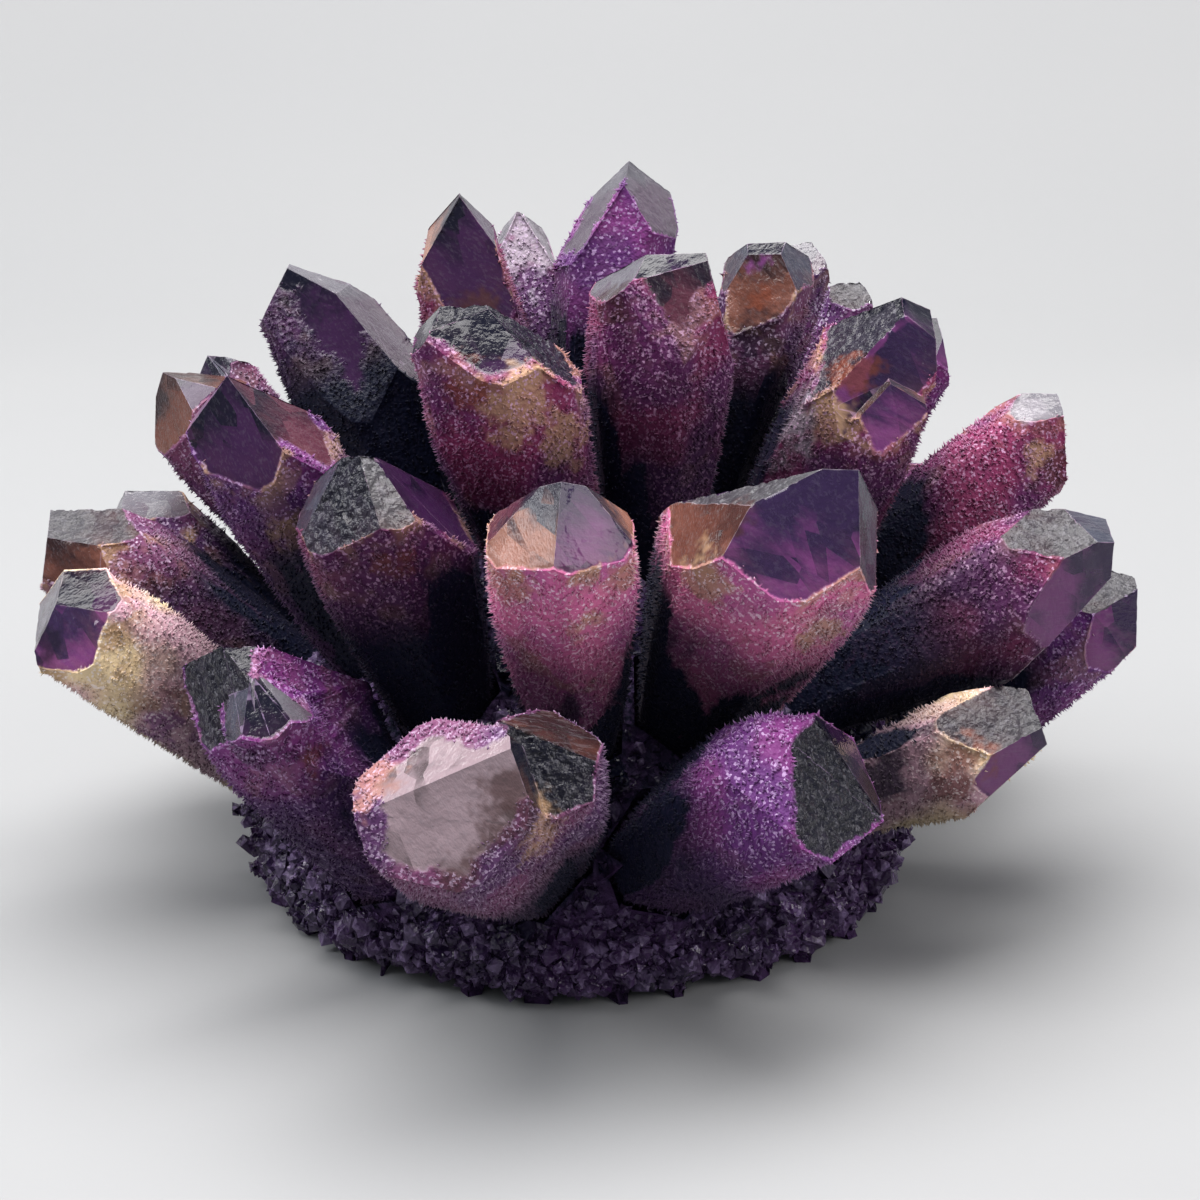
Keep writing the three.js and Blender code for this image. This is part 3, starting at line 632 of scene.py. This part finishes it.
def scatter(skin, weight, per_mm2, random):
    """Random places on a skin: the corners of the face that each is on, their shares, place and normal."""
    _, area = face_normals(skin["corners"], skin["faces"])
    chance = area * weight[skin["faces"]].mean(axis=1)
    face = random.choice(len(area), int(chance.sum() * per_mm2), p=chance / chance.sum())
    share = random.uniform(0, 1, (len(face), 2))
    fold = share.sum(axis=1) > 1
    share[fold] = 1 - share[fold]
    share = np.column_stack([1 - share.sum(axis=1), share])
    rows = skin["faces"][face]
    normals = unit(spread(corner_normals(skin["corners"], skin["faces"]), rows, share))
    return rows, share, spread(skin["corners"], rows, share), normals


def spread(values, rows, share):
    """Corner values at scattered places."""
    picked = values[rows]
    return (picked * (share[..., None] if picked.ndim == 3 else share)).sum(axis=1)


def spikes(places, ups, sizes, heights, sunk, sides, shoulder, values, random):
    """Closed pointed crystals. shoulder is the share of the height at which the sides turn into the
    point, or 0 for a plain spike."""
    count = len(places)
    side = unit(np.cross(ups, random.normal(0, 1, (count, 3))))
    other = np.cross(ups, side)
    rings = 2 if shoulder else 1
    corners = np.zeros((count, rings * sides + 1, 3))
    reach = sizes[:, None] * random.uniform(0.8, 1.2, (count, sides)) / 2
    for k in range(sides):
        turn = k * 2 * math.pi / sides
        spoke = (side * math.cos(turn) + other * math.sin(turn)) * reach[:, k, None]
        corners[:, k] = places - ups * sunk[:, None] + spoke * (0.8 if shoulder else 1.15)
        if shoulder:
            lift = heights * shoulder * random.uniform(0.7, 1.3, count)
            corners[:, sides + k] = places + ups * lift[:, None] + spoke
    aside = side * (sizes * random.uniform(-0.1, 0.1, count))[:, None]
    corners[:, -1] = places + ups * heights[:, None] + aside
    pattern = [[0, k + 1, k] for k in range(1, sides - 1)]
    for k in range(sides):
        j = (k + 1) % sides
        if shoulder:
            pattern += [[k, j, sides + j], [k, sides + j, sides + k]]
        pattern.append([(rings - 1) * sides + k, (rings - 1) * sides + j, rings * sides])
    each = corners.shape[1]
    faces = (np.arange(count) * each)[:, None, None] + np.array(pattern)
    point = {key: np.repeat(value, each, axis=0) for key, value in values.items()}
    point["point"] = np.tile([0.0] * sides + [0.4] * (sides * (rings - 1)) + [1.0], count)
    point["tone"] = np.repeat(random.uniform(0, 1, count), each)
    corners, faces = corners.reshape(-1, 3), faces.reshape(-1, 3)
    return dict(corners=corners, faces=faces, smooth=False, POINT=point, FACE={})


def crystal_needles(skin, buried, openness, random):
    """The crust of fine needles on one crystal."""
    point = skin["POINT"]
    point["open"] = openness(skin)
    weight = smoothstep(0.25, 0.95, point["crust"]) * (1 - 0.85 * point["bare"])
    weight = weight * (HIDDEN_SHARE + (1 - HIDDEN_SHARE) * point["open"])
    rows, share, places, normals = scatter(skin, weight, NEEDLES_PER_MM2, random)
    free = ~buried(places)
    rows, share, places, normals = rows[free], share[free], places[free], normals[free]
    keys = ("root", "rim", "bare", "dark", "ochre", "open", "stained", "stain")
    values = {key: spread(point[key], rows, share) for key in keys}
    ups = unit(normals + random.normal(0, NEEDLE_LEAN, normals.shape))
    size = NEEDLE_WIDTH * random.lognormal(0, 0.25, len(places))
    height = NEEDLE_HEIGHT * random.uniform(0.55, 1.1, len(places)) * (1 - 0.4 * values["bare"])
    height = height * np.where(spread(point["crust"], rows, share) < 0.95, 0.6, 1.0)
    sunk = np.full(len(places), NEEDLE_SUNK)
    needles = spikes(places, ups, size, height, sunk, NEEDLE_SIDES, 0, values, random)
    return dict(needles, smooth=True)


# Materials
class Nodes:
    """Short names for making the nodes of a material or a world. Scales are per metre."""

    def __init__(self, name, kind="Material"):
        self.owner = (bpy.data.worlds if kind == "World" else bpy.data.materials).new(name)
        self.owner.use_nodes = True
        self.tree = self.owner.node_tree
        self.tree.nodes.clear()
        self.output = self.node(f"ShaderNodeOutput{kind}")
        self.places = self.node("ShaderNodeTexCoord").outputs
        self.place = self.places["Object"]

    def set(self, socket, value):
        """Links another node's output to a socket, or sets the socket's own value."""
        if isinstance(value, bpy.types.NodeSocket):
            self.tree.links.new(value, socket)
        elif isinstance(value, tuple) and socket.type == "RGBA":
            socket.default_value = (*value, 1)
        else:
            socket.default_value = value

    def node(self, kind, settings=None, **inputs):
        made = self.tree.nodes.new(kind)
        for key, value in (settings or {}).items():
            setattr(made, key, value)
        for key, value in inputs.items():
            self.set(made.inputs[key.replace("_", " ")], value)
        return made

    def numbered(self, kind, settings, inputs):
        """A node whose inputs are known by number, because several have one name."""
        made = self.node(kind, settings)
        for index, value in inputs.items():
            self.set(made.inputs[index], value)
        return made

    def attribute(self, name, output="Fac"):
        return self.node("ShaderNodeAttribute", dict(attribute_name=name)).outputs[output]

    def noise(self, scale, detail=2.0, rough=0.5, place=None):
        made = self.node("ShaderNodeTexNoise", Vector=place or self.place, Scale=scale, Detail=detail,
                         Roughness=rough)
        return made.outputs["Fac"]

    def channel(self, colour, name):
        return self.node("ShaderNodeSeparateColor", Color=colour).outputs[name]

    def grains(self, scale):
        """A random tone for each grain of a crust."""
        made = self.node("ShaderNodeTexVoronoi", Vector=self.place, Scale=scale)
        return self.channel(made.outputs["Color"], "Red")

    def shards(self, scale):
        """Angular patches like inner cracks, as a random colour for each."""
        place = self.stretched((0.4, 0.9, 0.2), (1.7, 1.0, 0.6))
        return self.node("ShaderNodeTexVoronoi", Vector=place, Scale=scale).outputs["Color"]

    def stretched(self, turn, stretch):
        made = self.node("ShaderNodeMapping", dict(vector_type="TEXTURE"), Vector=self.place, Rotation=turn,
                         Scale=stretch)
        return made.outputs[0]

    def vectors(self, kind, inputs):
        return self.numbered("ShaderNodeVectorMath", dict(operation=kind), inputs).outputs[0]

    def slanted(self, patches, amount):
        """The normal, leant over by the colour of each patch."""
        lean = self.vectors("SUBTRACT", {0: patches, 1: (0.5, 0.5, 0.5)})
        lean = self.vectors("SCALE", {0: lean, 3: amount})
        normal = self.node("ShaderNodeNewGeometry").outputs["Normal"]
        return self.vectors("NORMALIZE", {0: self.vectors("ADD", {0: normal, 1: lean})})

    def math(self, kind, a, b=0.0, c=0.0, clamp=False):
        settings = dict(operation=kind, use_clamp=clamp)
        return self.numbered("ShaderNodeMath", settings, {0: a, 1: b, 2: c}).outputs[0]

    def times(self, a, b, plus=None):
        """a times b, with plus added if it is given."""
        return self.math("MULTIPLY", a, b) if plus is None else self.math("MULTIPLY_ADD", a, b, plus)

    def around(self, value):
        """A value from 0 to 1 as one from -0.5 to 0.5."""
        return self.math("SUBTRACT", value, 0.5)

    def ramp(self, value, low, high, start=0.0, end=1.0):
        """From start to end while the value goes from low to high, with soft ends."""
        made = self.node("ShaderNodeMapRange", dict(interpolation_type="SMOOTHSTEP"), Value=value,
                         From_Min=low, From_Max=high, To_Min=start, To_Max=end)
        return made.outputs["Result"]

    def mix(self, amount, a, b):
        """From one colour to another."""
        return self.numbered("ShaderNodeMix", dict(data_type="RGBA"), {0: amount, 6: a, 7: b}).outputs[2]

    def mix_value(self, amount, a, b):
        """From one number to another."""
        return self.numbered("ShaderNodeMix", None, {0: amount, 2: a, 3: b}).outputs[0]

    def bump(self, strength, distance, height, **inputs):
        """A normal from a height, at most `distance` metres high."""
        made = self.node("ShaderNodeBump", Strength=strength, Distance=distance, Height=height, **inputs)
        return made.outputs[0]

    def surface(self, kind="ShaderNodeBsdfPrincipled", **inputs):
        shader = self.node(kind, **inputs)
        self.set(self.output.inputs["Surface"], shader.outputs[0])


QUARTZ_IOR = 1.544
# Colours of each slot (linear): body, second body colour and needle point, which also colours the painted
# glints, glow and edge highlights; then what the clear quartz takes from light, as a colour and a density per
# metre
PALETTES = {
    "plum": dict(body=(0.240, 0.032, 0.105), second=(0.115, 0.020, 0.098), light=(0.72, 0.44, 0.68),
                 absorb=(0.55, 0.22, 0.62), density=150),
    "rose": dict(body=(0.720, 0.175, 0.370), second=(0.520, 0.125, 0.330), light=(0.97, 0.82, 0.94),
                 absorb=(0.60, 0.25, 0.66), density=110),
    "violet": dict(body=(0.215, 0.042, 0.205), second=(0.122, 0.028, 0.165), light=(0.66, 0.46, 0.76),
                   absorb=(0.55, 0.30, 0.72), density=110),
    "honey": dict(body=(0.860, 0.660, 0.400), second=(0.680, 0.400, 0.480), light=(0.95, 0.84, 0.84),
                  absorb=(0.62, 0.42, 0.62), density=90),
    "smoky": dict(body=(0.200, 0.060, 0.145), second=(0.105, 0.036, 0.122), light=(0.70, 0.54, 0.74),
                  absorb=(0.62, 0.45, 0.50), density=90),
    "clear": dict(body=(0.150, 0.042, 0.148), second=(0.080, 0.024, 0.104), light=(0.72, 0.60, 0.78),
                  absorb=(0.72, 0.62, 0.76), density=40),
}
# The near-black navy of the painted shade
PAINTED_SHADE_COLOUR = (0.003, 0.0045, 0.018)
WORN = (0.30, 0.29, 0.33)
OCHRE, PEACH = (0.44, 0.27, 0.15), (0.30, 0.125, 0.095)
SUGAR_GRAINS, DRUSE_GRAINS, MATRIX_GRAINS = 2400, 1500, 1300
MATRIX_COLOURS = (0.012, 0.006, 0.024), (0.040, 0.016, 0.062)
DRUSE_POINTS, MATRIX_SUGAR = (0.25, 0.18, 0.34), (0.10, 0.055, 0.15)
CRUST_SHEEN = dict(Sheen_Weight=0.05, Sheen_Roughness=0.4)


def crust_colour(n, palette):
    """The colour of the crust, with ochre near the tip and painted shade towards the root and where other
    crystals hide it, and how much of it is left unshaded.
    """
    blotches = n.ramp(n.noise(70, 1), 0.40, 0.60)
    colour = n.mix(blotches, palette["body"], palette["second"])
    streaks = n.ramp(n.noise(150, 2, 0.6), 0.46, 0.60)
    near = n.times(n.ramp(n.attribute("rim"), 0.1, 0.75), streaks)
    wide = n.times(n.attribute("ochre"), n.ramp(n.noise(105, 2, 0.65), 0.56, 0.66))
    ochre = n.math("MAXIMUM", n.times(near, 0.85), n.times(wide, 0.7))
    colour = stained(n, n.mix(ochre, colour, n.mix(streaks, PEACH, OCHRE)))
    # Painted shade: darker towards the root, more so where other crystals hide the place, plus each crystal's
    # dark value, which is partly its own darker tone and partly painted shade.
    hidden = n.math("SUBTRACT", 1.72, n.attribute("open"))
    shade = n.times(n.ramp(n.attribute("root"), 0.14, 0.68), hidden)
    shade = n.math("ADD", shade, n.times(n.attribute("dark"), 0.8), clamp=True)
    return n.mix(shade, colour, PAINTED_SHADE_COLOUR), n.math("SUBTRACT", 1.0, shade)


def stained(n, colour):
    """Lays the crystal's own patches over a colour, with ragged edges."""
    ragged = n.times(n.around(n.noise(260, 2, 0.7)), 2.2)
    amount = n.ramp(n.math("ADD", n.attribute("stained"), ragged), 0.35, 1.0, 0.0, 0.7)
    amount = n.times(amount, n.ramp(n.attribute("stained"), 0.0, 0.25))
    return n.mix(amount, colour, n.attribute("stain", "Color"))


def body_material(slot, palette):
    """The skin between the needles."""
    n = Nodes(f"{slot}_body")
    tone, fine = n.grains(SUGAR_GRAINS), n.noise(1500, 1)
    colour, lit = crust_colour(n, palette)
    # Pale frosted grains, partly painted glints, dimmed where the painted shade lies.
    sugar_and_glints = n.times(n.ramp(tone, 0.74, 1.0, 0.0, 0.8), n.times(lit, 0.85, plus=0.02))
    colour = n.mix(sugar_and_glints, colour, palette["light"])
    n.surface(IOR=QUARTZ_IOR, Base_Color=colour, Roughness=n.ramp(tone, 0.8, 1.0, 0.55, 0.2),
              Normal=n.bump(0.45, 0.0006, fine), Specular_IOR_Level=0.14, Sheen_Tint=palette["light"],
              **CRUST_SHEEN)
    return n.owner


def facet_material(slot, palette):
    """Clear quartz with haze, fine lines and pits, and a crust that creeps over it from the body."""
    n = Nodes(f"{slot}_facets")
    pits, lines = n.attribute("pits"), n.attribute("lines")

    # The tint of the tip gives way to that of the lower part, unevenly.
    streaky = n.noise(260, 4, 0.6, n.stretched((0.3, 0.5, 0.2), (2.5, 1.0, 0.5)))
    cloudy = n.noise(95, 1)
    patches = n.shards(190)
    lower = n.attribute("low")
    for value, amount in ((streaky, 0.8), (cloudy, 1.3), (n.channel(patches, "Green"), 0.55)):
        lower = n.times(n.around(value), amount, plus=lower)
    colour = n.mix(n.ramp(lower, 0.15, 0.85), n.attribute("tint", "Color"), n.attribute("lower", "Color"))

    # Pits and lines are paler, the border is warm, and the edges between facets are scuffed and also painted
    # with a highlight.
    worn = n.ramp(n.noise(1100, 3, 0.6), 0.56, 0.66)
    colour = n.mix(n.times(n.times(worn, pits), 0.22), colour, WORN)
    lined = n.noise(1100, 2, 0.6, n.stretched((0.9, 0.2, 0.5), (5.0, 1.0, 0.3)))
    colour = n.mix(n.times(n.ramp(lined, 0.52, 0.66, 0.0, 0.16), lines), colour, WORN)
    warm = n.times(n.attribute("border"), n.ramp(streaky, 0.38, 0.58, 0.25, 1.0))
    colour = stained(n, n.mix(n.times(warm, n.attribute("warm")), colour, PEACH))
    # Scuffed edges, partly a painted highlight along them.
    scuffed_and_highlit = n.ramp(n.math("ADD", n.attribute("edge"), n.times(streaky, 0.6)), 1.1, 1.45, 0.0, 0.4)
    colour = n.mix(scuffed_and_highlit, colour, palette["light"])

    # The crust lies over all of it.
    ragged = n.times(n.around(n.noise(700, 2)), 0.9)
    crust = n.ramp(n.math("ADD", n.attribute("crust"), ragged), 0.3, 0.9)
    grown, lit = crust_colour(n, palette)
    # Its pale frosted grains are partly painted glints, dimmed where the painted shade lies.
    sugar_and_glints = n.times(n.ramp(n.grains(SUGAR_GRAINS), 0.65, 1.0, 0.0, 0.6), n.times(lit, 0.9, plus=0.02))
    colour = n.mix(crust, colour, n.mix(sugar_and_glints, grown, palette["light"]))
    clear = n.times(n.attribute("clear"), n.math("SUBTRACT", 1.0, crust))
    roughness = n.math("ADD", n.attribute("rough"), n.times(worn, n.times(pits, 0.25)))

    relief = n.math("ADD", n.times(n.times(lined, lines), 0.6), n.times(cloudy, 0.5))
    coarse = n.times(pits, 3.0, plus=n.times(crust, 2.0))
    relief = n.times(n.noise(900, 2, 0.6), coarse, plus=relief)
    slanted = n.slanted(patches, n.times(lines, 0.12, plus=0.05))
    n.surface(IOR=QUARTZ_IOR, Base_Color=colour, Roughness=n.mix_value(crust, roughness, 0.45),
              Normal=n.bump(0.3, 0.0008, relief, Normal=slanted), Transmission_Weight=clear,
              Specular_IOR_Level=0.2)
    volume = n.node("ShaderNodeVolumeAbsorption", Color=palette["absorb"], Density=palette["density"])
    n.set(n.output.inputs["Volume"], volume.outputs[0])
    return n.owner


def needle_material(slot, palette):
    """The crust of needles, with frosted points that also stand for a painted glow of light through them, and
    a few painted glints.
    """
    n = Nodes(f"{slot}_needles")
    tone = n.attribute("tone")
    # Frosted points, partly painted glow and glints: paler towards the point, brightest on a few needles,
    # dimmed in the painted shade.
    frost_and_highlight = n.times(n.math("POWER", n.attribute("point"), 2.6), n.ramp(tone, 0.6, 1.0, 0.5, 1.15))
    colour, lit = crust_colour(n, palette)
    colour = n.mix(n.times(frost_and_highlight, n.times(lit, 0.94, plus=0.03)), colour, palette["light"])
    n.surface(IOR=QUARTZ_IOR, Base_Color=colour, Roughness=n.ramp(tone, 0.85, 1.0, 0.5, 0.1),
              Specular_IOR_Level=0.16, Sheen_Tint=palette["light"], **CRUST_SHEEN)
    return n.owner


def painted_shade_where_hidden(n, colour):
    """The matrix's colour, with painted shade where crystals hide it."""
    return n.mix(n.ramp(n.attribute("open"), 0.0, 1.0, 0.95, 0.0), colour, PAINTED_SHADE_COLOUR)


def matrix_material():
    """The bare matrix between the crystals of its druse."""
    n = Nodes("matrix_skin")
    colour = painted_shade_where_hidden(n, n.mix(n.ramp(n.noise(60, 4), 0.35, 0.65), *MATRIX_COLOURS))
    colour = n.mix(n.ramp(n.grains(MATRIX_GRAINS), 0.3, 1.0, 0.0, 0.35), colour, MATRIX_SUGAR)
    n.surface(IOR=QUARTZ_IOR, Base_Color=colour, Roughness=0.6, Specular_IOR_Level=0.12,
              Normal=n.bump(0.8, 0.0015, n.noise(700, 4, 0.6)))
    return n.owner


def druse_material():
    """The small crystals of the matrix, which have paler points, partly frost and partly painted highlight,
    and painted sparkles.
    """
    n = Nodes("matrix_druse")
    tone = n.attribute("tone")
    colour = n.mix(n.ramp(n.noise(60, 4), 0.35, 0.65), *MATRIX_COLOURS)
    # Paler points: partly frost, partly painted highlight.
    frost_and_highlight = n.times(n.math("POWER", n.attribute("point"), 1.3), n.ramp(tone, 0.3, 1.0, 0.03, 0.55))
    colour = painted_shade_where_hidden(n, n.mix(frost_and_highlight, colour, DRUSE_POINTS))
    # Painted sparkle: pale dots on a few grains, only where the place is open.
    painted_sparkle = n.math("POWER", n.grains(DRUSE_GRAINS), 5.0)
    painted_sparkle = n.times(painted_sparkle, n.ramp(n.attribute("open"), 0.2, 1.0, 0.0, 0.5))
    colour = n.mix(painted_sparkle, colour, DRUSE_POINTS)
    n.surface(IOR=QUARTZ_IOR, Base_Color=colour, Roughness=n.ramp(tone, 0, 1, 0.15, 0.4),
              Normal=n.bump(0.7, 0.0008, n.noise(900, 1)), Specular_IOR_Level=0.25)
    return n.owner


# The cluster
def matrix_skin(crystals_tree):
    """The matrix, drawn in a little so that its druse ends at the solid's surface, and where druse grows."""
    corners, faces = solid_arrays("matrix")
    normals, _ = face_normals(corners, faces)
    middles = corners[faces].mean(axis=1)
    flat = (np.abs(normals[:, 2]) > 0.99) & (middles[:, 2] < 0.1)
    covered = np.array([crystals_tree.find_nearest(Vector(m))[3] < COVERED_GAP for m in middles])
    tags = np.where(flat, 1, np.where(covered, 2, 0))
    longest = np.array([MATRIX_EDGE, HIDDEN_EDGE, HIDDEN_EDGE])
    corners, faces, tags = refine(corners, faces, tags, longest)
    still = touched(corners, faces[tags > 0])
    drawn = np.where(still, 0, MATRIX_INSET + MATRIX_RELIEF * layered_noise(corners, *MATRIX_LUMPS))
    corners = corners - corner_normals(corners, faces) * drawn[:, None]
    corners[:, 2] = np.maximum(corners[:, 2], 0)
    skin = dict(corners=corners, faces=faces, tags=tags, smooth=True, POINT={}, FACE={})
    return skin, (~still).astype(float)


def build_matrix(random, crystals_tree, openness):
    """The matrix with its two layers of druse."""
    skin, weight = matrix_skin(crystals_tree)
    free = skin["POINT"]["open"] = openness(skin)
    weight = weight * (DRUSE_HIDDEN_SHARE + (1 - DRUSE_HIDDEN_SHARE) * free)
    parts = [dict(skin, materials=[matrix_material()])]
    druse = druse_material()
    for per_mm2, lean, width, sides in DRUSE_LAYERS:
        rows, share, places, normals = scatter(skin, weight, per_mm2, random)
        # Nothing grows under a crystal or near the floor.
        hits = [crystals_tree.ray_cast(Vector(p + u * 0.2), Vector(u), 6) for p, u in zip(places, normals)]
        roomy = np.array([hit[0] is None or hit[3] > width * 1.6 for hit in hits])
        keep = roomy & (places[:, 2] > width)
        places, ups = places[keep], unit(normals[keep] + random.normal(0, lean, (keep.sum(), 3)))
        size = width * random.lognormal(0, 0.3, len(places))
        height = np.minimum(size * random.uniform(0.4, 0.9, len(places)), DRUSE_TALLEST)
        values = dict(open=spread(free, rows[keep], share[keep]))
        shoulder = 0.5 if sides > 3 else 0
        part = spikes(places, ups, size, height, size * 0.5, sides, shoulder, values, random)
        part["corners"][:, 2] = np.maximum(part["corners"][:, 2], 0.02)
        parts.append(dict(part, materials=[druse]))
    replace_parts(make_object("druse_matrix", parts), "matrix")


def build_crystals(buried, openness):
    """Every crystal with its crust, slot by slot."""
    for slot, palette in PALETTES.items():
        materials = [make(slot, palette) for make in (body_material, facet_material, needle_material)]
        for number, (name, crystal) in enumerate(CRYSTALS.items()):
            if crystal["slot"] != slot:
                continue
            random = np.random.default_rng(FIRST_CRYSTAL_SEED + number)
            skin = crystal_skin(name, crystal, random)
            crust = crystal_needles(skin, buried, openness, random)
            parts = [dict(skin, materials=materials[:2]), dict(crust, materials=materials[2:])]
            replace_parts(make_object(f"druzy_{name}", parts), name)


def build_cluster():
    """The matrix and all the crystals, which know how near to each other they are."""
    arrays = [solid_arrays(name) for name in CRYSTALS]
    offsets = np.cumsum([0] + [len(corners) for corners, _ in arrays[:-1]])
    faces = np.vstack([faces + offset for (_, faces), offset in zip(arrays, offsets)])
    crystals_tree = tree_of(np.vstack([corners for corners, _ in arrays]), faces)
    matrix_tree = tree_of(*solid_arrays("matrix"))
    fan = [direction(azimuth, elevation) for azimuth, elevation in OPEN_WAYS]

    def buried(places):
        """Whether each place is in the matrix or against it."""
        hits = [(Vector(p), *matrix_tree.find_nearest(Vector(p))) for p in places]
        return np.array([gap < BURIED_GAP or ((p - at).dot(normal) < 0 and gap < BURIED_DEPTH)
                         for p, at, normal, _, gap in hits])

    def openness(skin):
        """From 0 in a deep gap to 1 in the open: the share of directions in which no crystal is near."""
        result = []
        for place, normal in zip(skin["corners"], corner_normals(skin["corners"], skin["faces"])):
            start = Vector(place + normal * OPEN_START)
            ways = [way for way in fan if way @ normal > 0.1] + [normal]
            free = [crystals_tree.ray_cast(start, Vector(way), OPEN_REACH)[0] is None for way in ways]
            result.append(sum(free) / len(free))
        return smoothstep(*OPEN_RANGE, np.array(result))

    build_matrix(np.random.default_rng(MATRIX_SEED), crystals_tree, openness)
    build_crystals(buried, openness)


# Surroundings, in metres
FLOOR_FRONT, FLOOR_BACK, SWEEP_RADIUS, WALL_TOP, HALF_WIDTH = -1.4, 0.45, 0.6, 2.2, 2.0
SWEEP_STEPS = 16
PAPER_COLOURS = (0.265, 0.269, 0.276), (0.275, 0.278, 0.284)
MIDDLE = (0, 0, 0.05)  # what the lamps point at
# Name, place, width and height, watts and colour
LAMPS = (
    ("top", (-0.1, 0.16, 1.35), (1.7, 1.1), 52, (1.0, 0.98, 0.96)),
    ("left", (-0.8, -0.1, 0.7), (0.4, 0.4), 4, (0.95, 0.97, 1.0)),
    ("right", (0.9, -0.35, 0.6), (0.6, 0.5), 4, (1.0, 0.97, 0.95)),
)
ROOM_COLOUR = (0.90, 0.94, 1.0)
SEEN_STRENGTH = 0.75  # how bright the world looks beyond the sweep


def aimed(name, data, place, target):
    """An object whose -Z looks from a place at a target."""
    made = bpy.data.objects.new(name, data)
    made.location = place
    made.rotation_euler = (Vector(target) - Vector(place)).to_track_quat("-Z", "Y").to_euler()
    scene.collection.objects.link(made)
    return made


def build_stage():
    """A pale seamless sweep: a floor that turns up into a wall."""
    profile = [(FLOOR_FRONT, 0.0), (FLOOR_BACK, 0.0)]
    for k in range(1, SWEEP_STEPS + 1):
        turn = k / SWEEP_STEPS * math.pi / 2
        profile.append((FLOOR_BACK + SWEEP_RADIUS * math.sin(turn), SWEEP_RADIUS * (1 - math.cos(turn))))
    profile.append((FLOOR_BACK + SWEEP_RADIUS, WALL_TOP))
    data = bpy.data.meshes.new("sweep")
    corners = [(x, y, z) for y, z in profile for x in (-HALF_WIDTH, HALF_WIDTH)]
    data.from_pydata(corners, [], [(2 * k, 2 * k + 1, 2 * k + 3, 2 * k + 2) for k in range(len(profile) - 1)])
    data.shade_smooth()
    sweep = bpy.data.objects.new("sweep", data)
    scene.collection.objects.link(sweep)
    n = Nodes("paper")
    colour = n.mix(n.ramp(n.noise(3, 2), 0.3, 0.7), *PAPER_COLOURS)
    n.surface(Base_Color=colour, Roughness=0.75, Normal=n.bump(0.05, 0.0005, n.noise(900, 3)))
    data.materials.append(n.owner)


def build_world():
    """A bright room above and behind, darker towards the front."""
    n = Nodes("studio", "World")
    split = n.node("ShaderNodeSeparateXYZ", Vector=n.places["Generated"]).outputs
    light = n.node("ShaderNodeMapRange", Value=n.times(split["Z"], 0.9, plus=split["Y"]), From_Min=-0.8,
                   From_Max=0.9, To_Min=0.28, To_Max=0.6)
    seen = n.node("ShaderNodeLightPath").outputs["Is Camera Ray"]
    n.surface("ShaderNodeBackground", Color=ROOM_COLOUR,
              Strength=n.mix_value(seen, light.outputs["Result"], SEEN_STRENGTH))
    scene.world = n.owner


def build_lamps():
    """Soft boxes above, to the left and to the right."""
    for name, place, (width, height), power, colour in LAMPS:
        light = bpy.data.lights.new(name, "AREA")
        light.shape = "RECTANGLE"
        light.size, light.size_y = width, height
        light.energy = power
        light.color = colour
        aimed(name, light, place, MIDDLE)


def build_camera():
    """The photograph's view."""
    data = bpy.data.cameras.new("camera")
    data.lens = LENS
    data.sensor_width = 36
    data.clip_start, data.clip_end = 0.02, 10
    scene.camera = aimed("camera", data, CAMERA, TARGET)
    scene.camera.location = Vector(CAMERA) * MM


build_camera()
build_stage()
build_world()
build_lamps()
build_cluster()
scene.view_settings.view_transform = "Standard"
scene.cycles.max_bounces = 6
scene.cycles.diffuse_bounces = 2
scene.cycles.glossy_bounces = 3
